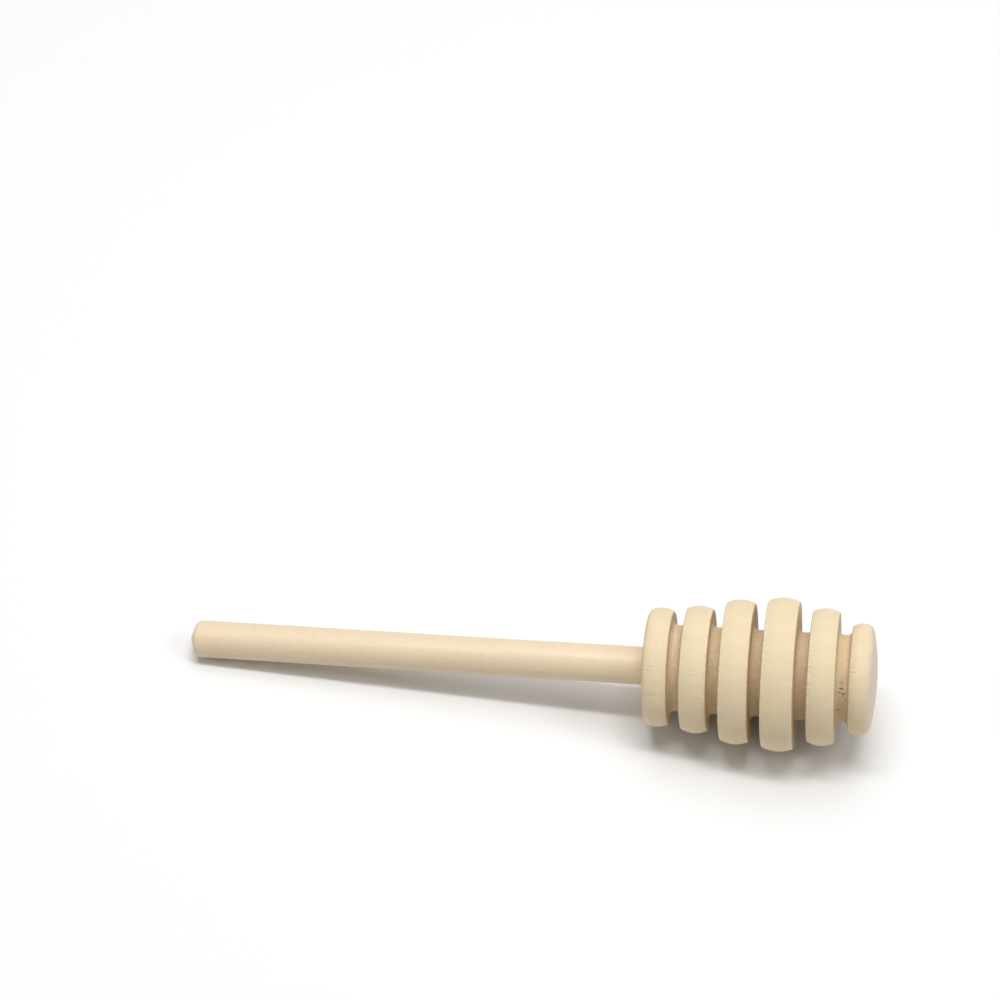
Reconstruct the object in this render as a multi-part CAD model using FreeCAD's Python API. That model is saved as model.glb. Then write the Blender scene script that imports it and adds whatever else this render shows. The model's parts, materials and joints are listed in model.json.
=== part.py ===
import FreeCAD, Part
import math
import os

# Wooden honey dipper: a turned head with six rings, glued on a straight dowel.
# It lies at rest on its widest ring and on the shoulder of its tip. +Z is up,
# +X runs towards the head, and the origin is on the table under the middle.
# Lengths are in millimetres and angles in degrees. A station is the distance
# along the turning axis from the free tip of the handle.

# Handle: dowel with a blunt cone at the free end and a shouldered tenon at the other
handle_diameter = 8.0
handle_free_length = 99.1
tip_cone_height = 2.4
tip_nose_round = 0.9
tip_shoulder_round = 1.5
tenon_end_chamfer = 0.8

# Head: rings counted from the handle to the domed end
ring_1_diameter = 24.9
ring_2_diameter = 26.6
ring_3_diameter = 30.1
ring_4_diameter = 31.9
ring_5_diameter = 28.4
ring_6_diameter = 23.1
ring_1_width = 5.1
ring_2_width = 5.5
ring_3_width = 5.9
ring_4_width = 6.5
ring_5_width = 5.6
ring_6_width = 4.3
ring_edge_chamfer = 0.5
neck_chamfer = 1.1
groove_width = 2.7
groove_floor_diameter = 18.1
end_chamfer = 0.8
end_dome_height = 1.2

# Socket in the head, with the glue that fills the space round the tenon
socket_diameter = 6.0
socket_depth = 28.0
socket_drill_angle = 118.0
glue_film_thickness = 0.1
glue_pad_thickness = 1.0
glue_setback = 1.0

# Sizes that follow from those above
handle_radius = handle_diameter / 2
socket_radius = socket_diameter / 2
tenon_radius = socket_radius - glue_film_thickness
groove_floor_radius = groove_floor_diameter / 2
socket_end = handle_free_length + socket_depth
tenon_end = socket_end - glue_pad_thickness
ring_radii = [
    diameter / 2
    for diameter in (
        ring_1_diameter,
        ring_2_diameter,
        ring_3_diameter,
        ring_4_diameter,
        ring_5_diameter,
        ring_6_diameter,
    )
]
ring_widths = [
    ring_1_width,
    ring_2_width,
    ring_3_width,
    ring_4_width,
    ring_5_width,
    ring_6_width,
]
ring_starts = [
    handle_free_length + sum(ring_widths[:index]) + index * groove_width
    for index in range(len(ring_widths))
]
overall_length = ring_starts[-1] + ring_widths[-1] + end_dome_height


def place(station, radius):
    """Point of a turning profile, at a station along the axis and a radius from it."""
    return FreeCAD.Vector(station, 0, radius)


def straight(*places):
    """Straight edges from each of the places to the next."""
    return [Part.LineSegment(a, b).toShape() for a, b in zip(places, places[1:])]


def on_circle(centre, radius, angle):
    """Point of a circle in the profile's plane, at an angle in radians from +X."""
    return centre + place(radius * math.cos(angle), radius * math.sin(angle))


def bend(centre, radius, start_angle, end_angle):
    """Arc edge about a centre between two angles in radians."""
    angles = (start_angle, (start_angle + end_angle) / 2, end_angle)
    return Part.Arc(*[on_circle(centre, radius, angle) for angle in angles]).toShape()


def direction(start, end):
    """Angle in radians from +X of the way from one place to another."""
    return math.atan2(end.z - start.z, end.x - start.x)


def turn(edges):
    """Solid turned about the X axis from the edges of a closed profile."""
    profile = Part.Face(Part.Wire(edges))
    return profile.revolve(FreeCAD.Vector(), FreeCAD.Vector(1, 0, 0), 360)


class Tip:
    """Blunt cone at the handle's free end: a round nose, a cone and a round shoulder."""

    slope = math.atan2(tip_cone_height, handle_radius)
    cone_normal = math.pi - slope
    nose = place(tip_nose_round, 0)
    corner = tip_cone_height - tip_nose_round * (1 / math.cos(slope) - 1)
    shoulder_reach = tip_shoulder_round * math.tan((math.pi / 2 - slope) / 2)
    shoulder = place(corner + shoulder_reach, handle_radius - tip_shoulder_round)

    @classmethod
    def edges(cls):
        """Edges from the nose on the axis to the start of the straight wall."""
        nose_arc = bend(cls.nose, tip_nose_round, math.pi, cls.cone_normal)
        shoulder_arc = bend(cls.shoulder, tip_shoulder_round, cls.cone_normal, math.pi / 2)
        cone = straight(
            on_circle(cls.nose, tip_nose_round, cls.cone_normal),
            on_circle(cls.shoulder, tip_shoulder_round, cls.cone_normal),
        )
        return [nose_arc, *cone, shoulder_arc]


class Ring:
    """One ring of the head: a rim crowned as a band of a sphere, between two flat flanks."""

    def __init__(self, start, width, radius, near_chamfer, far_chamfer):
        self.start = start
        self.end = start + width
        self.radius = radius
        self.centre = place(start + width / 2, 0)
        self.near_edge = self.on_crown(self.start + near_chamfer)
        self.far_edge = self.on_crown(self.end - far_chamfer)
        self.near_corner = place(self.start, self.near_edge.z - near_chamfer)
        self.far_corner = place(self.end, self.far_edge.z - far_chamfer)

    def on_crown(self, station):
        """Point of the crown's arc at a station."""
        return place(station, math.sqrt(self.radius**2 - (station - self.centre.x) ** 2))

    def rim(self):
        """Arc over the crown from its near edge to its far one."""
        angles = [direction(self.centre, edge) for edge in (self.near_edge, self.far_edge)]
        return bend(self.centre, self.radius, *angles)


class Dome:
    """Shallow domed end of the head."""

    def __init__(self, edge_radius):
        self.radius = (edge_radius**2 + end_dome_height**2) / (2 * end_dome_height)
        self.centre = place(overall_length - self.radius, 0)
        self.edge_angle = math.asin(edge_radius / self.radius)

    def edge(self):
        """Arc from the last ring to the end of the axis."""
        return bend(self.centre, self.radius, self.edge_angle, 0)


edge_chamfers = [ring_edge_chamfer] * (len(ring_widths) - 1)
near_chamfers = [neck_chamfer, *edge_chamfers]
far_chamfers = [*edge_chamfers, end_chamfer]
rings = [
    Ring(*sizes)
    for sizes in zip(ring_starts, ring_widths, ring_radii, near_chamfers, far_chamfers)
]
dome = Dome(rings[-1].far_corner.z)


def groove_edges(ring, next_ring):
    """Edges from one ring's rim, across the groove's floor and up to the next rim."""
    return straight(
        ring.far_edge,
        ring.far_corner,
        place(ring.end, groove_floor_radius),
        place(next_ring.start, groove_floor_radius),
        next_ring.near_corner,
        next_ring.near_edge,
    )


def make_head():
    """Turned head with its blind socket, drilled to a conical point."""
    first, last = rings[0], rings[-1]
    socket_mouth = place(handle_free_length, socket_radius)
    edges = straight(socket_mouth, first.near_corner, first.near_edge) + [first.rim()]
    for ring, next_ring in zip(rings, rings[1:]):
        edges += groove_edges(ring, next_ring) + [next_ring.rim()]
    edges += straight(last.far_edge, last.far_corner) + [dome.edge()]
    drill_point = socket_radius / math.tan(math.radians(socket_drill_angle / 2))
    edges += straight(
        place(overall_length, 0),
        place(socket_end + drill_point, 0),
        place(socket_end, socket_radius),
        socket_mouth,
    )
    return turn(edges)


def tenon_places(start):
    """Places along the tenon's wall from a station, over its chamfer to the axis."""
    return [
        place(start, tenon_radius),
        place(tenon_end - tenon_end_chamfer, tenon_radius),
        place(tenon_end, tenon_radius - tenon_end_chamfer),
        place(tenon_end, 0),
    ]


def make_handle():
    """Straight dowel from its blunt tip to the end of the tenon in the socket."""
    wall_and_tenon = straight(
        place(Tip.shoulder.x, handle_radius),
        place(handle_free_length, handle_radius),
        *tenon_places(handle_free_length),
        place(0, 0),
    )
    return turn(Tip.edges() + wall_and_tenon)


def make_glue():
    """Dried glue: a film round the tenon and a pad under its end."""
    film_start = handle_free_length + glue_setback
    return turn(
        straight(
            *tenon_places(film_start),
            place(socket_end, 0),
            place(socket_end, socket_radius),
            place(film_start, socket_radius),
            place(film_start, tenon_radius),
        )
    )


def rest_tilt():
    """Tilt in radians at which the tip's shoulder and the lowest ring share a floor."""
    tilts = []
    for ring in rings:
        run = ring.centre.x - Tip.shoulder.x
        drop = ring.centre.z - Tip.shoulder.z
        extra = (ring.radius - tip_shoulder_round) / math.hypot(run, drop)
        tilts.append(math.atan2(drop, run) + math.asin(extra))
    return max(tilts)


def rest_placement():
    """Placement that lays the dipper on the floor with the origin under its middle."""
    tilt = rest_tilt()
    shoulder_height = Tip.shoulder.x * math.sin(tilt) - Tip.shoulder.z * math.cos(tilt)
    tip_end = Tip.nose.x * math.cos(tilt) - tip_nose_round
    head_end = dome.centre.x * math.cos(tilt) + dome.radius
    move = FreeCAD.Vector(-(tip_end + head_end) / 2, 0, tip_shoulder_round - shoulder_height)
    lift = FreeCAD.Rotation(FreeCAD.Vector(0, 1, 0), -math.degrees(tilt))
    return FreeCAD.Placement(move, lift)


def main():
    """Make the three pieces, lay them at rest and write each one."""
    os.makedirs("parts", exist_ok=True)
    at_rest = rest_placement().toMatrix()
    pieces = {"head": make_head(), "handle": make_handle(), "glue_bond": make_glue()}
    for name, piece in pieces.items():
        laid = piece.transformed(at_rest)
        laid.exportStep(f"parts/{name}.step")
        print(f"{name}: valid {laid.isValid()}, volume {laid.Volume:.1f} mm3")
    print(f"overall length {overall_length:.2f} mm, tilt {math.degrees(rest_tilt()):.2f} degrees")


main()
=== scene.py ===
import json
import logging
import math
import random
from dataclasses import dataclass
from enum import Enum

import bmesh
import bpy
from mathutils import Matrix, Vector, noise


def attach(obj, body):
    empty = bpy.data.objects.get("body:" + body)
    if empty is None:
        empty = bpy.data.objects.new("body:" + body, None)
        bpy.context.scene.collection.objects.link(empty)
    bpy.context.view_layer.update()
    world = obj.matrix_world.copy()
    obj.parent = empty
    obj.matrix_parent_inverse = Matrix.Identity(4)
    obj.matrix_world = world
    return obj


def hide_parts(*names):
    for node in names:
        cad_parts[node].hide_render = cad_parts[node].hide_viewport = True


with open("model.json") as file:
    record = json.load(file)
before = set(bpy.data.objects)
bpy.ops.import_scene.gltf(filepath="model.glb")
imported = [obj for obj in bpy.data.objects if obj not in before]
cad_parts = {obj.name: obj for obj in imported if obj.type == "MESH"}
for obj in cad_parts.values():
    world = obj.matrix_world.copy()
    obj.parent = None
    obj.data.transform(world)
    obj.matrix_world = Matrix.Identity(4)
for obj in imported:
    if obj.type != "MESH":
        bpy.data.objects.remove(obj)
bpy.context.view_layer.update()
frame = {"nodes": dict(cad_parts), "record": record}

MM = 0.001
SANDED = 0.02  # mm off each outer face, so that the fine skin stays within the solids
WELD = 0.0005  # mm within which the seams of a turned skin are merged
BODY = "root"
LOG = logging.getLogger("honey_dipper")


class Mark(Enum):
    """Vertex attributes that tell a finish where it lies on the turned wood."""

    END_GRAIN = "end_grain"
    # Groove floor; its darker tone is partly painted shade in the recesses
    GROOVE = "groove"
    PIT = "pit"
    # Chip depth at the worn edges; the near-white tone it sets is partly a painted highlight
    CHIP_AND_HIGHLIGHT = "chip"
    SANDED_END = "sanded_end"


def linear(hex_code: str) -> tuple[float, float, float, float]:
    """Turn an sRGB hex colour into linear RGBA.

    Args:
        hex_code: Colour such as "E8D2AA".

    Returns:
        Linear red, green, blue and an alpha of 1.
    """
    parts = [int(hex_code[i : i + 2], 16) / 255 for i in (0, 2, 4)]
    red, green, blue = [
        part / 12.92 if part <= 0.04045 else ((part + 0.055) / 1.055) ** 2.4 for part in parts
    ]
    return red, green, blue, 1.0


def add_node(
    tree: bpy.types.NodeTree,
    kind: str,
    inputs: dict[str | int, object] | None = None,
    output: str | int = 0,
    **settings: object,
) -> bpy.types.NodeSocket:
    """Add a node to a tree with its settings, values and links.

    Args:
        tree: Node tree that gets the node.
        kind: Blender's name for the node type.
        inputs: Input name or number to a value, or to an output socket to link.
        output: Name or number of the output to give back.
        settings: Properties of the node itself.

    Returns:
        The output socket that the next node links to.
    """
    node = tree.nodes.new(kind)
    for name, value in settings.items():
        setattr(node, name, value)
    for key, value in (inputs or {}).items():
        if isinstance(value, bpy.types.NodeSocket):
            tree.links.new(value, node.inputs[key])
        else:
            node.inputs[key].default_value = value
    return node.outputs[output]


def smooth_step(value: float, low: float, high: float) -> float:
    """Ease from 0 at low to 1 at high.

    Args:
        value: Number to ease.
        low: Value at which the result is 0.
        high: Value at which the result is 1.

    Returns:
        A number from 0 to 1.
    """
    share = min(max((value - low) / (high - low), 0.0), 1.0)
    return share * share * (3 - 2 * share)


@dataclass(frozen=True)
class TurningAxis:
    """Axis that both wooden pieces are turned about, as the dipper lies at rest."""

    tip: Vector
    tilt: float

    @classmethod
    def from_record(cls, record: dict, station: float) -> "TurningAxis":
        """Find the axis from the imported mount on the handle.

        Args:
            record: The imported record.
            station: Distance in mm from the tip to the mount's middle.

        Returns:
            The axis, with its tip in metres and its tilt in radians.
        """
        mount = record["mounts"][0]
        towards_tip = Vector(mount["axis"]).normalized()
        tip = Vector(mount["pos_m"]) + towards_tip * station * MM
        return cls(tip, math.asin(-towards_tip.z))

    def to_part(self) -> Matrix:
        """Give the matrix from turning coordinates in mm to the part's frame in metres."""
        lift = Matrix.Rotation(-self.tilt, 4, "Y")
        return Matrix.Translation(self.tip) @ lift @ Matrix.Scale(MM, 4)

    def wood_coordinates(self, tree: bpy.types.NodeTree) -> bpy.types.NodeSocket:
        """Add nodes that give turning coordinates in mm, with X along the grain.

        Args:
            tree: Material tree that gets the nodes.

        Returns:
            The vector output to link patterns to.
        """
        lay_flat = Matrix.Rotation(self.tilt, 3, "Y")
        return add_node(
            tree,
            "ShaderNodeMapping",
            {
                "Vector": add_node(tree, "ShaderNodeTexCoord", output="Object"),
                "Location": -(lay_flat @ self.tip) / MM,
                "Rotation": (0.0, self.tilt, 0.0),
                "Scale": (1 / MM, 1 / MM, 1 / MM),
            },
        )


class ProfilePen:
    """Draws a turning profile as one chain of edges, with stations along X and radii along Z."""

    def __init__(self, bm: bmesh.types.BMesh, station: float, radius: float) -> None:
        """Start the chain at a station and a radius, in mm."""
        self.bm = bm
        self.last = bm.verts.new((station, 0.0, radius))

    def line(self, station: float, radius: float, cuts: int = 0) -> None:
        """Draw a straight run to a station and radius.

        Args:
            station: Where the run ends along the axis, in mm.
            radius: Where it ends out from the axis, in mm.
            cuts: How many points divide the run.
        """
        start, end = self.last.co.copy(), Vector((station, 0.0, radius))
        for step in range(1, cuts + 2):
            vert = self.bm.verts.new(start.lerp(end, step / (cuts + 1)))
            self.bm.edges.new((self.last, vert))
            self.last = vert

    def arc(self, centre: tuple[float, float], angle: float, steps: int) -> None:
        """Sweep an arc from the chain's end about a centre.

        Args:
            centre: The centre's station and radius, in mm.
            angle: How far the arc turns over towards the head's end, in radians.
            steps: How many edges it has.
        """
        swept = bmesh.ops.spin(
            self.bm,
            geom=[self.last],
            cent=(centre[0], 0.0, centre[1]),
            axis=(0.0, 1.0, 0.0),
            angle=angle,
            steps=steps,
        )
        self.last = next(g for g in swept["geom_last"] if isinstance(g, bmesh.types.BMVert))

    def turn(self, wedges: int, wedge_steps: int) -> None:
        """Spin the chain about the axis into a closed skin that points outwards.

        Args:
            wedges: How many equal wedges make the whole turn, because one long spin is slow.
            wedge_steps: How many facets each wedge has.
        """
        middle, along = (0.0, 0.0, 0.0), (1.0, 0.0, 0.0)
        wedge = math.tau / wedges
        chain = self.bm.verts[:] + self.bm.edges[:]
        bmesh.ops.spin(self.bm, geom=chain, cent=middle, axis=along, angle=wedge, steps=wedge_steps)
        bmesh.ops.spin(
            self.bm,
            geom=self.bm.verts[:] + self.bm.edges[:] + self.bm.faces[:],
            cent=middle,
            axis=along,
            angle=math.tau - wedge,
            steps=wedges - 1,
            use_duplicate=True,
        )
        bmesh.ops.remove_doubles(self.bm, verts=self.bm.verts[:], dist=WELD)
        bmesh.ops.recalc_face_normals(self.bm, faces=self.bm.faces[:])


def finish_piece(
    bm: bmesh.types.BMesh,
    name: str,
    axis: TurningAxis,
    finish: bpy.types.Material,
    node: str,
) -> bpy.types.Object:
    """Lay a turned skin at rest, dress it and tie it to its node.

    Args:
        bm: Skin in turning coordinates, which is freed here.
        name: Name of the new object.
        axis: Axis on which it lies.
        finish: Its material.
        node: CAD node that it stands for.

    Returns:
        The finished object.
    """
    bmesh.ops.transform(bm, matrix=axis.to_part(), verts=bm.verts[:])
    mesh = bpy.data.meshes.new(name)
    bm.to_mesh(mesh)
    bm.free()
    mesh.shade_smooth()
    mesh.materials.append(finish)
    piece = bpy.data.objects.new(name, mesh)
    bpy.context.scene.collection.objects.link(piece)
    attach(piece, BODY)
    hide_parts(node)
    LOG.info("%s: %d faces for node %s", name, len(mesh.polygons), node)
    return piece


@dataclass(frozen=True)
class Streaks:
    """Soft streaks in the wood, of a length along the grain and a width across it, in mm.

    They rise between a low and a high level of the noise, from the least value, which lies
    between the streaks.
    """

    along: float
    across: float
    low: float = 0.0
    high: float = 1.0
    least: float = 0.0
    detail: float = 3.0

    def pattern(
        self, tree: bpy.types.NodeTree, wood: bpy.types.NodeSocket
    ) -> bpy.types.NodeSocket:
        """Add the streaks to a material.

        Args:
            tree: Material tree that gets the nodes.
            wood: Turning coordinates in mm.

        Returns:
            A value from the least to 1.
        """
        scale = (1 / self.along, 1 / self.across, 1 / self.across)
        stretched = add_node(tree, "ShaderNodeMapping", {"Vector": wood, "Scale": scale})
        cloud = {"Vector": stretched, "Scale": 1.0, "Detail": self.detail}
        level = add_node(tree, "ShaderNodeTexNoise", cloud)
        rise = {0: level, 1: self.low, 2: self.high, 3: self.least}
        return add_node(tree, "ShaderNodeMapRange", rise, interpolation_type="SMOOTHSTEP")


@dataclass(frozen=True)
class Spindles:
    """Short spindles scattered over the wood, of a length and a width in mm.

    The gaps are the share of the places that stay empty, and the blend is the share above it
    in which spindles are faint. A spindle fades from its core to its edge, which are distances
    from its middle as shares of its size.
    """

    along: float
    across: float
    gaps: float
    blend: float = 0.2
    core: float = 0.1
    edge: float = 0.38

    def pattern(
        self, tree: bpy.types.NodeTree, wood: bpy.types.NodeSocket
    ) -> bpy.types.NodeSocket:
        """Add the spindles to a material.

        Args:
            tree: Material tree that gets the nodes.
            wood: Turning coordinates in mm.

        Returns:
            A value that is 1 in the middle of a spindle and 0 outside.
        """
        scale = (1 / self.along, 1 / self.across, 1 / self.across)
        stretched = add_node(tree, "ShaderNodeMapping", {"Vector": wood, "Scale": scale})
        cells = {"Vector": stretched, "Scale": 1.0}
        middle = add_node(tree, "ShaderNodeTexVoronoi", cells, output="Distance")
        lot = add_node(tree, "ShaderNodeSeparateColor", {0: middle.node.outputs["Color"]})
        chosen = {0: lot, 1: self.gaps, 2: min(self.gaps + self.blend, 1.0)}
        body = {0: middle, 1: self.core, 2: self.edge, 3: 1.0, 4: 0.0}
        shares = [
            add_node(tree, "ShaderNodeMapRange", span, interpolation_type="SMOOTHSTEP")
            for span in (chosen, body)
        ]
        return add_node(tree, "ShaderNodeMath", dict(enumerate(shares)), operation="MULTIPLY")


@dataclass(frozen=True)
class GrainPatterns:
    """Patterns of one wood, as output sockets that run from 0 to 1."""

    bands: bpy.types.NodeSocket
    mottle: bpy.types.NodeSocket
    fibres: bpy.types.NodeSocket
    flecks: bpy.types.NodeSocket
    scratches: bpy.types.NodeSocket
    pores: bpy.types.NodeSocket
    tool_rings: bpy.types.NodeSocket
    torn: bpy.types.NodeSocket
    nap: bpy.types.NodeSocket


@dataclass(frozen=True)
class PaleBeech:
    """Raw beech, turned and sanded: a matt cream wood with straight fine grain.

    The eye gets faint growth bands and blushes, hair-fine fibres along the grain with a few
    short dark and pale flecks, browner end grain on the flanks, tool rings and torn fibres on
    the floors of the grooves in a darker tone that is partly painted shade of the grooves,
    freshly cut pale wood where the tool chipped an edge, which is partly a painted highlight on
    the edges, and fine year lines on the sanded end. Sizes are in mm, along the grain and then
    across it. Pores and fibres are drawn coarser than the real ones, which are about 0.05 mm
    wide, so that they show.
    """

    name: str
    early_wood: str
    late_wood: str
    blush: str
    fleck: str
    end_grain: str
    # Freshly cut pale wood of chips and scratches; on the chipped edges partly a painted highlight
    fresh_wood_and_highlight: str
    pith_mm: tuple[float, float]
    # Darker tone of the groove floors: partly rough torn wood, partly painted shade in the recesses
    groove: str = "D3BD9A"
    pit: str = "7A5C3D"
    sanded_end: str = "F2E4D6"
    year_line: str = "D2B194"
    torn_fibre: str = "E0CEAC"
    band_mm: float = 2.3
    band_sway_mm: float = 3.0
    band_shares: tuple[float, float] = (0.15, 0.3)
    late_rise_shares: tuple[float, float] = (0.1, 0.85)
    late_fall_shares: tuple[float, float] = (0.86, 1.0)
    late_end_share: float = 0.5
    sway: Streaks = Streaks(60.0, 14.0)
    mottle: Streaks = Streaks(7.0, 3.2, 0.4, 0.72)
    fibres: Streaks = Streaks(9.0, 0.34, 0.4, 0.75)
    flecks: Spindles = Spindles(1.5, 0.24, gaps=0.66)
    scratches: Spindles = Spindles(1.9, 0.32, gaps=0.95)
    pores: Streaks = Streaks(0.48, 0.24, 0.4, 0.68, least=0.45)
    tool_rings: Streaks = Streaks(0.34, 60.0, 0.36, 0.66, least=0.8)
    torn: Streaks = Streaks(0.8, 0.5, 0.46, 0.76)
    nap: Streaks = Streaks(0.7, 0.3)
    mottle_share: float = 0.35
    fibre_share: float = 0.18
    fleck_share: float = 0.34
    scratch_share: float = 0.5
    pit_share: float = 0.75
    relief_mm: float = 0.05
    relief_strength: float = 0.3
    fibre_rise: float = 0.3
    fleck_sink: float = 0.5
    scratch_sink: float = 0.7
    tool_ring_rise: float = 0.8
    ior: float = 1.45
    specular: float = 0.3
    roughness: tuple[float, float] = (0.6, 0.76)

    def material(self, axis: TurningAxis) -> bpy.types.Material:
        """Build the wood's node material.

        Args:
            axis: Axis that the grain runs along.

        Returns:
            The material.
        """
        material = bpy.data.materials.new(self.name)
        material.use_nodes = True
        tree = material.node_tree
        shader = tree.nodes["Principled BSDF"]
        shader.inputs["IOR"].default_value = self.ior
        shader.inputs["Specular IOR Level"].default_value = self.specular
        grain = self._grain(tree, axis.wood_coordinates(tree))
        smooth, rough = self.roughness
        gloss = {0: grain.fibres, 3: smooth, 4: rough}
        sockets = {
            "Base Color": self._colour(tree, grain),
            "Roughness": add_node(tree, "ShaderNodeMapRange", gloss),
            "Normal": self._relief(tree, grain),
        }
        for name, socket in sockets.items():
            tree.links.new(socket, shader.inputs[name])
        return material

    def _grain(self, tree: bpy.types.NodeTree, wood: bpy.types.NodeSocket) -> GrainPatterns:
        """Add every pattern of the wood.

        Args:
            tree: Material tree that gets the nodes.
            wood: Turning coordinates in mm.

        Returns:
            The patterns.
        """
        return GrainPatterns(
            bands=self._growth_bands(tree, wood),
            mottle=self.mottle.pattern(tree, wood),
            fibres=self.fibres.pattern(tree, wood),
            flecks=self.flecks.pattern(tree, wood),
            scratches=self.scratches.pattern(tree, wood),
            pores=self.pores.pattern(tree, wood),
            tool_rings=self.tool_rings.pattern(tree, wood),
            torn=self.torn.pattern(tree, wood),
            nap=self.nap.pattern(tree, wood),
        )

    def _growth_bands(
        self, tree: bpy.types.NodeTree, wood: bpy.types.NodeSocket
    ) -> bpy.types.NodeSocket:
        """Give faint growth bands: slow pale early wood, then a thin late edge.

        Args:
            tree: Material tree that gets the nodes.
            wood: Turning coordinates in mm.

        Returns:
            The share of late wood.
        """
        pith = (0.0, -self.pith_mm[0], -self.pith_mm[1])
        from_pith = {0: wood, 1: (0.0, 1.0, 1.0), 2: pith}
        across = add_node(tree, "ShaderNodeVectorMath", from_pith, operation="MULTIPLY_ADD")
        reach = add_node(
            tree, "ShaderNodeVectorMath", {0: across}, output="Value", operation="LENGTH"
        )
        swayed = {0: self.sway.pattern(tree, wood), 1: self.band_sway_mm, 2: reach}
        depth = add_node(tree, "ShaderNodeMath", swayed, operation="MULTIPLY_ADD")
        count = add_node(tree, "ShaderNodeMath", {0: depth, 1: self.band_mm}, operation="DIVIDE")
        year = add_node(tree, "ShaderNodeMath", {0: count}, operation="FRACT")
        steps = (
            (*self.late_rise_shares, *self.band_shares),
            (*self.late_fall_shares, 1.0, self.late_end_share),
        )
        shares = [
            add_node(tree, "ShaderNodeMapRange", dict(enumerate((year, *step)))) for step in steps
        ]
        return add_node(tree, "ShaderNodeMath", dict(enumerate(shares)), operation="MULTIPLY")

    def _colour(
        self, tree: bpy.types.NodeTree, grain: GrainPatterns
    ) -> bpy.types.NodeSocket:
        """Lay the wood's tones over each other, from the early wood to the year lines.

        Args:
            tree: Material tree that gets the nodes.
            grain: Patterns of the wood.

        Returns:
            The colour.
        """
        marks = {
            mark: add_node(
                tree, "ShaderNodeAttribute", output="Fac", attribute_name=mark.value
            )
            for mark in Mark
        }
        layers = (
            (grain.bands, 1.0, self.late_wood),
            (grain.mottle, self.mottle_share, self.blush),
            (grain.fibres, self.fibre_share, self.late_wood),
            (grain.flecks, self.fleck_share, self.fleck),
            (grain.scratches, self.scratch_share, self.fresh_wood_and_highlight),
            (marks[Mark.END_GRAIN], grain.pores, self.end_grain),
            # Groove floors and roots take a darker tone, partly painted shade in the recesses
            (marks[Mark.GROOVE], grain.tool_rings, self.groove),
            (marks[Mark.GROOVE], grain.torn, self.torn_fibre),
            (marks[Mark.PIT], self.pit_share, self.pit),
            # Chipped edges turn near-white: freshly cut wood, partly a painted highlight on the
            # edges
            (marks[Mark.CHIP_AND_HIGHLIGHT], 1.0, self.fresh_wood_and_highlight),
            (marks[Mark.SANDED_END], grain.pores, self.sanded_end),
            (marks[Mark.SANDED_END], grain.bands, self.year_line),
        )
        colour: object = linear(self.early_wood)
        for pattern, amount, tone in layers:
            share = add_node(
                tree, "ShaderNodeMath", {0: pattern, 1: amount}, operation="MULTIPLY"
            )
            tones = {0: share, 6: colour, 7: linear(tone)}
            colour = add_node(tree, "ShaderNodeMix", tones, output=2, data_type="RGBA")
        return colour

    def _relief(
        self, tree: bpy.types.NodeTree, grain: GrainPatterns
    ) -> bpy.types.NodeSocket:
        """Raise the fibres and the tool's rings, and sink the flecks and scratches.

        Args:
            tree: Material tree that gets the nodes.
            grain: Patterns of the wood.

        Returns:
            The normal.
        """
        height = grain.nap
        weights = (
            (grain.fibres, self.fibre_rise),
            (grain.flecks, -self.fleck_sink),
            (grain.scratches, -self.scratch_sink),
            (grain.tool_rings, self.tool_ring_rise),
        )
        for pattern, weight in weights:
            raised = {0: pattern, 1: weight, 2: height}
            height = add_node(tree, "ShaderNodeMath", raised, operation="MULTIPLY_ADD")
        bump = {
            "Strength": self.relief_strength,
            "Distance": self.relief_mm * MM,
            "Height": height,
        }
        return add_node(tree, "ShaderNodeBump", bump)


@dataclass(frozen=True)
class DriedGlue:
    """Dried white wood glue: a yellowish, half clear film with fine bubbles."""

    name: str = "dried_wood_glue"
    film: str = "DCCB97"
    bubble: str = "EFE5C4"
    bubble_mm: float = 0.25
    bubble_wall: tuple[float, float] = (0.2, 0.5)
    roughness: float = 0.35

    def material(self) -> bpy.types.Material:
        """Build the glue's node material.

        Returns:
            The material.
        """
        material = bpy.data.materials.new(self.name)
        material.use_nodes = True
        tree = material.node_tree
        shader = tree.nodes["Principled BSDF"]
        shader.inputs["Roughness"].default_value = self.roughness
        place = add_node(tree, "ShaderNodeTexCoord", output="Object")
        cells = {"Vector": place, "Scale": 1 / (self.bubble_mm * MM)}
        middle = add_node(tree, "ShaderNodeTexVoronoi", cells, output="Distance")
        core, edge = self.bubble_wall
        share = add_node(tree, "ShaderNodeMapRange", {0: middle, 1: core, 2: edge})
        tones = {0: share, 6: linear(self.bubble), 7: linear(self.film)}
        colour = add_node(tree, "ShaderNodeMix", tones, output=2, data_type="RGBA")
        tree.links.new(colour, shader.inputs["Base Color"])
        return material


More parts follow.
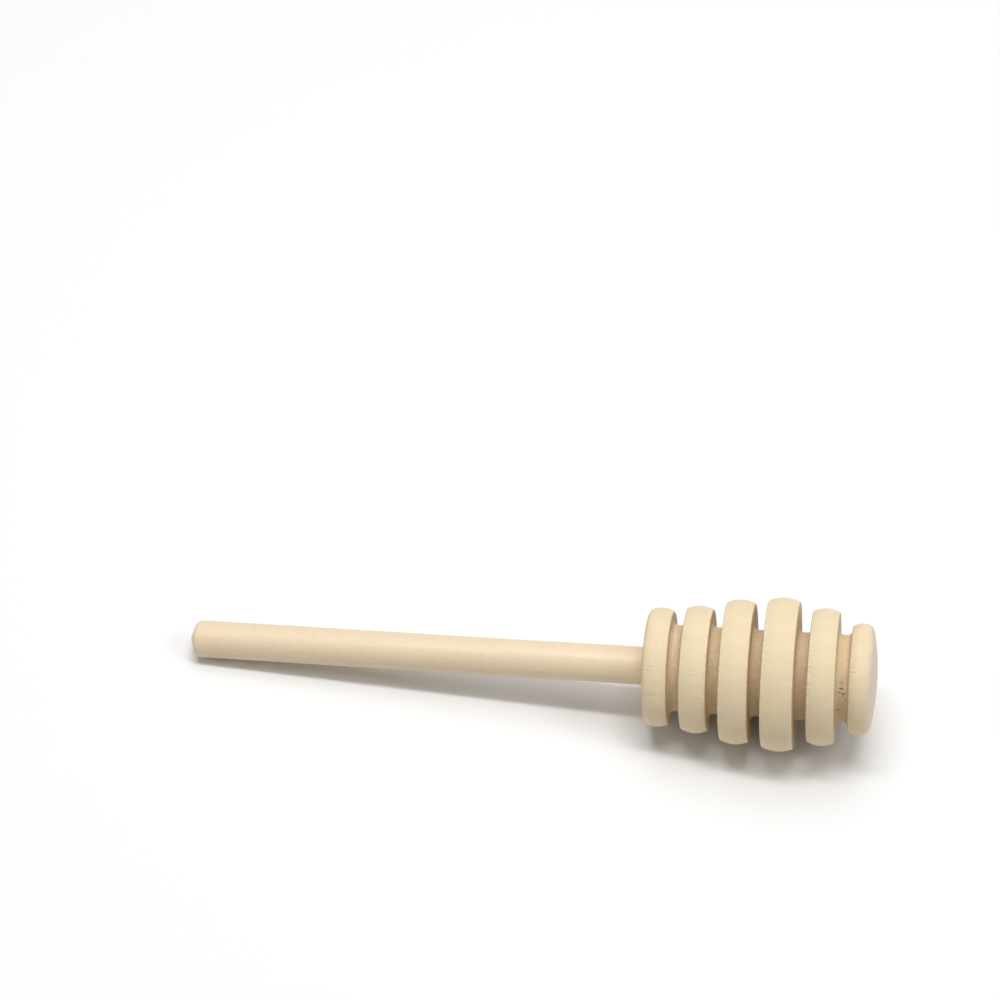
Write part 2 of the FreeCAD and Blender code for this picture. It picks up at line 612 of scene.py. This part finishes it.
@dataclass
class DowelHandle:
    """Straight dowel with a blunt cone at its tip and a shouldered tenon in the head, in mm."""

    axis: TurningAxis
    radius: float = 4.0 - 2 * SANDED
    free_length: float = 99.1
    tip_setback: float = 0.4
    cone_height: float = 1.6
    nose_round: float = 0.9
    shoulder_round: float = 1.2
    seam_round: float = 0.18
    tenon_radius: float = 2.9
    tenon_length: float = 27.0
    tenon_chamfer: float = 0.8
    tip_grain: float = 0.7
    tip_grain_span: tuple[float, float] = (1.2, 2.8)
    wedges: int = 8
    wedge_facets: int = 20
    nose_steps: int = 6
    cone_cuts: int = 6
    shoulder_steps: int = 8
    wall_cuts: int = 60
    seam_steps: int = 4
    tenon_cuts: int = 3
    finish: PaleBeech = PaleBeech(
        name="sanded_beech_dowel",
        early_wood="E7D4B4",
        late_wood="DCC29C",
        blush="E8CEB5",
        fleck="CFA985",
        end_grain="E6D3B5",
        fresh_wood_and_highlight="F4EAD6",
        pith_mm=(18.0, -31.0),
        fibres=Streaks(14.0, 0.3, 0.4, 0.75),
        flecks=Spindles(2.6, 0.28, gaps=0.5),
        fleck_share=0.4,
        specular=0.8,
        roughness=(0.46, 0.6),
    )

    def build(self) -> bpy.types.Object:
        """Turn the dowel and dress it.

        Returns:
            The handle's object.
        """
        bm = bmesh.new()
        pen = ProfilePen(bm, self.tip_setback, 0.0)
        self._draw_tip(pen)
        wall_end = self.free_length - self.seam_round
        pen.line(wall_end, self.radius, cuts=self.wall_cuts)
        pen.arc((wall_end, self.radius - self.seam_round), math.pi / 2, self.seam_steps)
        pen.line(self.free_length, self.tenon_radius)
        tenon_end = self.free_length + self.tenon_length
        pen.line(tenon_end - self.tenon_chamfer, self.tenon_radius, cuts=self.tenon_cuts)
        pen.line(tenon_end, self.tenon_radius - self.tenon_chamfer)
        pen.line(tenon_end, 0.0)
        pen.turn(self.wedges, self.wedge_facets)
        self._mark_tip(bm)
        material = self.finish.material(self.axis)
        return finish_piece(bm, "handle_dowel", self.axis, material, "handle")

    def _draw_tip(self, pen: ProfilePen) -> None:
        """Draw the blunt cone: a round nose, a straight side and a round shoulder.

        Args:
            pen: Pen whose chain starts at the tip, on the axis.
        """
        slope = math.atan2(self.cone_height, self.radius)
        nose = self.tip_setback + self.nose_round
        corner = nose + self.cone_height - self.nose_round / math.cos(slope)
        wall_start = corner + self.shoulder_round * math.tan((math.pi / 2 - slope) / 2)
        inner = self.radius - self.shoulder_round
        pen.arc((nose, 0.0), slope, self.nose_steps)
        pen.line(
            wall_start - self.shoulder_round * math.cos(slope),
            inner + self.shoulder_round * math.sin(slope),
            cuts=self.cone_cuts,
        )
        pen.arc((wall_start, inner), math.pi / 2 - slope, self.shoulder_steps)

    def _mark_tip(self, bm: bmesh.types.BMesh) -> None:
        """Mark the cone at the tip as end grain."""
        layer = bm.verts.layers.float.new(Mark.END_GRAIN.value)
        for vert in bm.verts:
            vert[layer] = self.tip_grain * (1 - smooth_step(vert.co.x, *self.tip_grain_span))


@dataclass(frozen=True)
class Spot:
    """Place on a turned skin: station and radius in mm, and angle round the axis in radians."""

    station: float
    radius: float
    angle: float

    @classmethod
    def of(cls, place: Vector) -> "Spot":
        """Find the spot of a point in turning coordinates."""
        return cls(place.x, math.hypot(place.y, place.z), math.atan2(place.z, place.y))


@dataclass(frozen=True)
class Dent:
    """Small dent in the turned wood, with its middle, its length along the grain and its width.

    The angle is in degrees round the axis, from level at the back over the top. The depth is a
    share of the depth that such dents have on the piece, and it is full over the flat share of
    the dent. The rest is in mm.
    """

    station: float
    angle: float
    length: float
    width: float
    depth: float = 1.0
    flat_share: float = 0.25

    def share_at(self, spot: Spot) -> float:
        """Give how deep a spot lies in the dent, from 0 to 1."""
        along = abs(spot.station - self.station) * 2 / self.length
        if along > 1:
            return 0.0
        turned = math.remainder(spot.angle - math.radians(self.angle), math.tau)
        across = turned * spot.radius * 2 / self.width
        return self.depth * (1 - smooth_step(math.hypot(along, across), self.flat_share, 1.0))


@dataclass
class WornEdge:
    """Edge of a ring from which the turning tool tore short chips, spaced round the rim.

    The amount is how worn the edge is, from 0 to 1. Each chip has its own step of the spacing,
    and its middle and half length are shares of that step. Its depth is full within the core
    and gone at the reach. The sizes are in mm.
    """

    station: float
    radius: float
    amount: float
    spacing: float = 0.85
    core: float = 0.4
    reach: float = 0.9
    least_kept_share: float = 0.35
    worn_kept_share: float = 0.6
    middle_shares: tuple[float, float] = (0.3, 0.7)
    half_shares: tuple[float, float] = (0.16, 0.42)
    depth_shares: tuple[float, float] = (0.25, 1.0)
    flat_share: float = 0.4
    seeds_per_mm: int = 10

    def __post_init__(self) -> None:
        """Draw each chip's place in its step, its half length and its depth."""
        draw = random.Random(round(self.station * self.seeds_per_mm))
        self.count = round(math.tau * self.radius / self.spacing)
        kept = self.least_kept_share + self.worn_kept_share * self.amount
        self.chips = [
            (
                draw.uniform(*self.middle_shares),
                draw.uniform(*self.half_shares),
                draw.uniform(*self.depth_shares) if draw.random() < kept else 0.0,
            )
            for _ in range(self.count)
        ]

    def chip_at(self, spot: Spot) -> float:
        """Give how deep a spot lies in a chip.

        Args:
            spot: Place on the turned skin.

        Returns:
            A number from 0 to 1.
        """
        gap = math.hypot(spot.station - self.station, spot.radius - self.radius)
        if gap > self.reach:
            return 0.0
        turn = (spot.angle / math.tau % 1.0) * self.count
        middle, half, depth = self.chips[int(turn) % self.count]
        off_middle = abs(turn % 1.0 - middle)
        along = 1 - smooth_step(off_middle, self.flat_share * half, half)
        return self.amount * depth * along * (1 - smooth_step(gap, self.core, self.reach))


@dataclass
class Ring:
    """One ring of the head, as sanded: a crowned rim between two flanks with eased edges, in mm."""

    start: float
    width: float
    radius: float
    near_wear: float
    far_wear: float
    near_round: float = 0.3
    far_round: float = 0.3
    crown_rise: float = 0.7
    flank_cuts: int = 2
    edge_steps: int = 4
    rim_steps: int = 9

    @property
    def end(self) -> float:
        """Station of the far flank."""
        return self.start + self.width

    @property
    def edge_radius(self) -> float:
        """Radius at which the rim would meet the flanks in sharp edges."""
        return self.radius - self.crown_rise

    @property
    def crown_radius(self) -> float:
        """Radius of the crown's arc."""
        return (self.width**2 / 4 + self.crown_rise**2) / (2 * self.crown_rise)

    @property
    def crown(self) -> tuple[float, float]:
        """Station and radius of the centre of the crown's arc."""
        return self.start + self.width / 2, self.radius - self.crown_radius

    def edge_centre(self, station: float, edge_round: float) -> tuple[float, float]:
        """Find the centre of an edge round that touches the crown from inside.

        Args:
            station: The centre's station, in mm.
            edge_round: Radius of the round, in mm.

        Returns:
            The centre's station and radius.
        """
        along = station - self.crown[0]
        reach = self.crown_radius - edge_round
        return station, self.crown[1] + math.sqrt(reach**2 - along**2)

    def angle_to(self, centre: tuple[float, float]) -> float:
        """Give the angle from +X at which a centre lies, seen from the crown's centre."""
        return math.atan2(centre[1] - self.crown[1], centre[0] - self.crown[0])

    def worn_edges(self) -> list[WornEdge]:
        """Give the ring's two edges with their chips."""
        ends = ((self.start, self.near_wear), (self.end, self.far_wear))
        return [WornEdge(station, self.edge_radius, amount) for station, amount in ends]

    def draw(self, pen: ProfilePen, far_centre: tuple[float, float] | None = None) -> None:
        """Draw the near flank and the rim, up to where the far round starts.

        Args:
            pen: Pen whose chain ends below the near edge.
            far_centre: Centre of the far round, where it isn't the ring's own.
        """
        near = self.edge_centre(self.start + self.near_round, self.near_round)
        far = far_centre or self.edge_centre(self.end - self.far_round, self.far_round)
        near_angle, far_angle = self.angle_to(near), self.angle_to(far)
        pen.line(self.start, near[1], cuts=self.flank_cuts)
        pen.arc(near, math.pi - near_angle, self.edge_steps)
        pen.arc(self.crown, near_angle - far_angle, self.rim_steps)
        if far_centre is None:
            pen.arc(far, far_angle, self.edge_steps)


@dataclass
class TurnedHead:
    """Head with six rings, five grooves, a domed end and the socket for the tenon, in mm."""

    axis: TurningAxis
    start: float = DowelHandle.free_length
    groove_width: float = 2.7
    floor_radius: float = 9.05 - 2 * SANDED
    floor_reach: float = 1.2
    root_round: float = 1.0
    dome_height: float = 1.2 - SANDED
    neck_round: float = 1.4
    end_round: float = 2.0
    socket_radius: float = 3.0
    socket_depth: float = 28.0
    socket_point: float = 1.8
    seat_width: float = 2.0
    wedges: int = 12
    wedge_facets: int = 35
    flank_cuts: int = 2
    root_steps: int = 4
    floor_cuts: int = 4
    end_steps: int = 6
    dome_steps: int = 10
    flank_grain_span: tuple[float, float] = (0.55, 0.95)
    dome_grain_span: tuple[float, float] = (0.3, 0.9)
    floor_flat_share: float = 0.25
    ring_sizes: tuple[tuple[float, float], ...] = (
        (5.1, 12.45),
        (5.5, 13.3),
        (5.9, 15.05),
        (6.5, 15.95),
        (5.6, 14.2),
        (4.3, 11.55),
    )
    # Wear of each ring's near and far edge; its near-white chips are partly a painted highlight
    near_wear: tuple[float, ...] = (0.0, 0.3, 0.5, 0.65, 1.0, 0.4)
    far_wear: tuple[float, ...] = (0.2, 0.75, 0.25, 0.25, 0.25, 0.0)
    chip_depth: float = 0.14
    tear_depth: float = 0.045
    tears_per_mm: tuple[float, float] = (0.9, 2.2)
    pit_depth: float = 0.22
    crease_depth: float = 0.13
    pits: tuple[Dent, ...] = (
        Dent(139.8, 141.5, 1.0, 0.8),
        Dent(139.3, 145.9, 0.7, 0.6),
        Dent(140.1, 148.6, 0.9, 0.7),
        Dent(139.8, 133.9, 0.8, 1.4, depth=0.4),
        Dent(140.5, 155.3, 0.5, 0.5),
        Dent(139.2, 172.7, 0.8, 0.7),
        Dent(105.4, -58.0, 0.9, 0.7),
        Dent(121.6, -104.0, 1.0, 0.6),
        Dent(122.0, 21.0, 0.7, 0.6),
        Dent(130.8, -31.0, 0.9, 0.8),
        Dent(139.5, -83.0, 0.8, 0.7),
    )
    creases: tuple[Dent, ...] = (
        Dent(100.7, 127.6, 2.0, 0.5),
        Dent(100.5, 131.6, 2.0, 0.5),
        Dent(101.5, 155.6, 2.0, 0.6),
        Dent(113.4, 116.0, 0.6, 0.5),
        Dent(113.1, 133.0, 0.7, 0.5),
        Dent(113.6, 124.0, 0.6, 0.5),
        Dent(109.4, 129.6, 2.4, 0.45),
        Dent(109.5, 133.3, 1.8, 0.45),
        Dent(141.7, 116.7, 1.4, 0.45),
        Dent(141.8, 121.0, 1.6, 0.5),
        Dent(128.6, -42.0, 2.2, 0.5),
        Dent(117.4, 38.0, 2.0, 0.5),
    )
    finish: PaleBeech = PaleBeech(
        name="turned_beech",
        early_wood="E9D8B6",
        late_wood="DEC69D",
        blush="E9D3B4",
        fleck="CBA97A",
        end_grain="CBB190",
        # Near-white tone of chips and scratches, partly a painted highlight on the chipped edges
        fresh_wood_and_highlight="FCF5E6",
        pith_mm=(-22.0, -46.0),
    )

    def __post_init__(self) -> None:
        """Lay the rings out along the axis."""
        self.rings: list[Ring] = []
        station = self.start
        sizes_and_wear = zip(self.ring_sizes, self.near_wear, self.far_wear)
        for (width, radius), near_wear, far_wear in sizes_and_wear:
            self.rings.append(Ring(station, width, radius - SANDED, near_wear, far_wear))
            station += width + self.groove_width
        self.rings[0].near_round = self.neck_round
        self.rings[-1].far_round = self.end_round

    def build(self) -> bpy.types.Object:
        """Turn the head, wear its edges, tear its grooves and dress it.

        Returns:
            The head's object.
        """
        bm = bmesh.new()
        bottom = self.start + self.socket_depth
        pen = ProfilePen(bm, bottom + self.socket_point, 0.0)
        pen.line(bottom, self.socket_radius)
        pen.line(self.start, self.socket_radius)
        pen.line(self.start, self.socket_radius + self.seat_width, cuts=self.flank_cuts)
        for ring, next_ring in zip(self.rings, self.rings[1:]):
            ring.draw(pen)
            self._draw_groove(pen, ring.end, next_ring.start)
        self._draw_end(pen)
        pen.turn(self.wedges, self.wedge_facets)
        self._mark_and_wear(bm)
        material = self.finish.material(self.axis)
        return finish_piece(bm, "head_turned", self.axis, material, "head")

    def _draw_groove(self, pen: ProfilePen, start: float, end: float) -> None:
        """Draw a groove down one flank, over its floor and into the next flank's root.

        Args:
            pen: Pen whose chain ends at the first flank's top.
            start: Station of the first flank, in mm.
            end: Station of the next flank, in mm.
        """
        root = self.floor_radius + self.root_round
        pen.line(start, root, cuts=self.flank_cuts)
        pen.arc((start + self.root_round, root), -math.pi / 2, self.root_steps)
        pen.line(end - self.root_round, self.floor_radius, cuts=self.floor_cuts)
        pen.arc((end - self.root_round, root), -math.pi / 2, self.root_steps)

    def _draw_end(self, pen: ProfilePen) -> None:
        """Draw the last rim, its round and the dome to the axis."""
        ring = self.rings[-1]
        dome_radius = (ring.edge_radius**2 + self.dome_height**2) / (2 * self.dome_height)
        dome = Vector((ring.end + self.dome_height - dome_radius, 0.0))
        crown = Vector(ring.crown)
        crown_reach, dome_reach = ring.crown_radius - ring.far_round, dome_radius - ring.far_round
        apart = dome - crown
        along = (crown_reach**2 - dome_reach**2 + apart.length_squared) / (2 * apart.length)
        across = math.sqrt(crown_reach**2 - along**2)
        unit = apart.normalized()
        edge = crown + unit * along + Vector((unit.y, -unit.x)) * across
        dome_angle = math.atan2(edge.y, edge.x - dome.x)
        ring.draw(pen, far_centre=tuple(edge))
        pen.arc(tuple(edge), ring.angle_to(tuple(edge)) - dome_angle, self.end_steps)
        pen.arc(tuple(dome), dome_angle, self.dome_steps)

    def _mark_and_wear(self, bm: bmesh.types.BMesh) -> None:
        """Mark end grain, grooves and edges, and cut chips, pits and creases into the skin.

        Args:
            bm: Turned skin in turning coordinates.
        """
        layers = {mark: bm.verts.layers.float.new(mark.value) for mark in Mark}
        bm.normal_update()
        edges = [edge for ring in self.rings for edge in ring.worn_edges()]
        outside = [vert for vert in bm.verts if not self._in_socket(Spot.of(vert.co))]
        sunk: list[Vector] = []
        for vert in outside:
            spot = Spot.of(vert.co)
            marks = self._end_marks(spot, abs(vert.normal.x))
            if self._in_groove(spot):
                marks |= self._groove_marks(spot)
            else:
                # The chip value also sets the near-white tone, partly a painted highlight on the
                # edges
                marks[Mark.CHIP_AND_HIGHLIGHT] = max(edge.chip_at(spot) for edge in edges)
            for mark, value in marks.items():
                vert[layers[mark]] = value
            sunk.append(vert.co - vert.normal * self._sink(spot, vert.co, marks))
        for vert, place in zip(outside, sunk):
            vert.co = place

    def _in_socket(self, spot: Spot) -> bool:
        """Tell whether a spot lies in the socket."""
        return spot.radius <= self.socket_radius + SANDED and spot.station < self.rings[-1].end

    def _in_groove(self, spot: Spot) -> bool:
        """Tell whether a spot lies on a groove's floor or at its roots."""
        low = spot.radius < self.floor_radius + self.floor_reach
        return low and self.rings[0].end <= spot.station <= self.rings[-1].start

    def _end_marks(self, spot: Spot, across: float) -> dict[Mark, float]:
        """Mark cut ends of the grain: sanded on the dome, and browner on the flanks.

        Args:
            spot: Place on the turned skin.
            across: How squarely the skin cuts the grain there, from 0 to 1.

        Returns:
            The marks with their values.
        """
        if spot.station > self.rings[-1].end - self.end_round:
            return {Mark.SANDED_END: smooth_step(across, *self.dome_grain_span)}
        return {Mark.END_GRAIN: smooth_step(across, *self.flank_grain_span)}

    def _groove_marks(self, spot: Spot) -> dict[Mark, float]:
        """Mark a groove's floor and its pits.

        Args:
            spot: Place in a groove.

        Returns:
            The marks with their values.
        """
        height = spot.radius - self.floor_radius
        flat = self.floor_flat_share * self.floor_reach
        floor = 1 - smooth_step(height, flat, self.floor_reach)
        pit = max(dent.share_at(spot) for dent in self.pits)
        return {Mark.GROOVE: floor, Mark.PIT: floor * pit}

    def _sink(self, spot: Spot, place: Vector, marks: dict[Mark, float]) -> float:
        """Work out how far the skin sinks at a spot.

        Args:
            spot: Place on the turned skin.
            place: The same place in turning coordinates.
            marks: Marks of the spot.

        Returns:
            The depth in mm.
        """
        depth = self.crease_depth * max(dent.share_at(spot) for dent in self.creases)
        if Mark.GROOVE not in marks:
            return depth + self.chip_depth * marks[Mark.CHIP_AND_HIGHLIGHT]
        along, across = self.tears_per_mm
        tear = noise.noise(Vector((along * place.x, across * place.y, across * place.z)))
        depth += self.tear_depth * marks[Mark.GROOVE] * (tear + 1)
        return depth + self.pit_depth * marks[Mark.PIT]


@dataclass(frozen=True)
class SoftLamp:
    """Long soft light that looks at the middle of the dipper, in metres and watts."""

    name: str
    place: tuple[float, float, float]
    length: float
    width: float
    power: float

    def hang(self) -> None:
        """Add the lamp to the scene."""
        light = bpy.data.lights.new(self.name, "AREA")
        light.shape = "RECTANGLE"
        light.size = self.length
        light.size_y = self.width
        light.energy = self.power
        lamp = bpy.data.objects.new(self.name, light)
        lamp.location = self.place
        lamp.rotation_euler = (-lamp.location).to_track_quat("-Z", "Y").to_euler()
        bpy.context.scene.collection.objects.link(lamp)


@dataclass
class Studio:
    """Plain white table under soft overhead lamps in a white room, and the camera.

    The floor's sizes are in metres. The camera stands and aims at places in mm from the tip, and
    its lens and sensor are in mm.
    """

    axis: TurningAxis
    floor_size: float = 6.0
    floor_colour: str = "E4E4E3"
    floor_seen: str = "F4F4F4"
    floor_fade: tuple[float, float] = (0.25, 0.6)
    lamps: tuple[SoftLamp, ...] = (
        SoftLamp("overhead_strip", (0.0, -0.01, 1.1), 0.8, 0.1, 4.9),
        SoftLamp("overhead_panel", (0.0, 0.3, 1.05), 0.9, 1.0, 5.9),
        SoftLamp("right_lamp", (0.72, -0.1, 0.82), 0.4, 0.4, 2.2),
        SoftLamp("left_fill", (-0.9, -0.3, 0.5), 0.5, 0.5, 1.1),
    )
    fill_strength: float = 0.19
    eye_from_tip: tuple[float, float, float] = (116.93, -328.24, 449.23)
    aim_from_tip: tuple[float, float, float] = (59.76, 51.55, -3.745)
    lens: float = 94.36
    sensor: float = 36.0

    def build(self) -> None:
        """Set the floor, the lamps, the world and the camera."""
        self._floor()
        for lamp in self.lamps:
            lamp.hang()
        self._world()
        self._camera()
        bpy.context.scene.view_settings.view_transform = "Standard"

    def _seen_rays(self, tree: bpy.types.NodeTree) -> bpy.types.NodeSocket:
        """Give 1 for camera, glossy and transmission rays, and 0 for the rest.

        Args:
            tree: Node tree that gets the nodes.

        Returns:
            The value.
        """
        seen = add_node(tree, "ShaderNodeLightPath", output="Is Camera Ray")
        for ray in ("Is Glossy Ray", "Is Transmission Ray"):
            pair = {0: seen, 1: add_node(tree, "ShaderNodeLightPath", output=ray)}
            seen = add_node(tree, "ShaderNodeMath", pair, operation="MAXIMUM")
        return seen

    def _floor(self) -> None:
        """Lay a matt white floor that keeps the shadow."""
        bm = bmesh.new()
        bmesh.ops.create_grid(bm, x_segments=1, y_segments=1, size=self.floor_size / 2)
        mesh = bpy.data.meshes.new("floor")
        bm.to_mesh(mesh)
        bm.free()
        mesh.materials.append(self._table())
        floor = bpy.data.objects.new("floor", mesh)
        bpy.context.scene.collection.objects.link(floor)

    def _table(self) -> bpy.types.Material:
        """Build the floor's material: matt white, and plain white far from the dipper.

        Returns:
            The material.
        """
        material = bpy.data.materials.new("matt_white_table")
        material.use_nodes = True
        tree = material.node_tree
        seen = self._seen_rays(tree)
        tones = {0: seen, 6: linear(self.floor_colour), 7: linear(self.floor_seen)}
        colour = add_node(tree, "ShaderNodeMix", tones, output=2, data_type="RGBA")
        place = add_node(tree, "ShaderNodeTexCoord", output="Object")
        reach = add_node(
            tree, "ShaderNodeVectorMath", {0: place}, output="Value", operation="LENGTH"
        )
        near, far = self.floor_fade
        beyond = {0: reach, 1: near, 2: far}
        fade = add_node(tree, "ShaderNodeMapRange", beyond, interpolation_type="SMOOTHSTEP")
        layers = {
            0: add_node(tree, "ShaderNodeMath", {0: seen, 1: fade}, operation="MULTIPLY"),
            1: add_node(tree, "ShaderNodeBsdfDiffuse", {"Color": colour}),
            2: add_node(tree, "ShaderNodeEmission"),
        }
        surface = tree.nodes["Material Output"].inputs["Surface"]
        tree.links.new(add_node(tree, "ShaderNodeMixShader", layers), surface)
        return material

    def _world(self) -> None:
        """Fill from all round, and show white behind the floor's edge."""
        world = bpy.data.worlds.new("soft_room")
        bpy.context.scene.world = world
        world.use_nodes = True
        tree = world.node_tree
        background = tree.nodes["Background"]
        levels = {0: self._seen_rays(tree), 3: self.fill_strength, 4: 1.0}
        strength = add_node(tree, "ShaderNodeMapRange", levels)
        background.inputs["Color"].default_value = (1.0, 1.0, 1.0, 1.0)
        tree.links.new(strength, background.inputs["Strength"])

    def _camera(self) -> None:
        """Stand the camera where it sees the dipper as the photograph does."""
        lens = bpy.data.cameras.new("camera")
        lens.lens = self.lens
        lens.sensor_width = self.sensor
        camera = bpy.data.objects.new("camera", lens)
        eye = self.axis.tip + Vector(self.eye_from_tip) * MM
        aim = self.axis.tip + Vector(self.aim_from_tip) * MM
        camera.location = eye
        camera.rotation_euler = (aim - eye).to_track_quat("-Z", "Y").to_euler()
        bpy.context.scene.collection.objects.link(camera)
        bpy.context.scene.camera = camera


def main() -> None:
    """Build the dipper and its studio, and note the sizes."""
    logging.basicConfig(level=logging.INFO, format="%(message)s")
    length = frame["record"]["mounts"][0]["dims"]["length_mm"]
    axis = TurningAxis.from_record(frame["record"], DowelHandle.free_length - length / 2)
    TurnedHead(axis).build()
    DowelHandle(axis).build()
    glue = frame["nodes"]["glue_bond"]
    glue.data.materials.clear()
    glue.data.materials.append(DriedGlue().material())
    LOG.info("glue_bond: kept from the frame, inside the socket")
    Studio(axis).build()


if __name__ == "__main__":
    main()
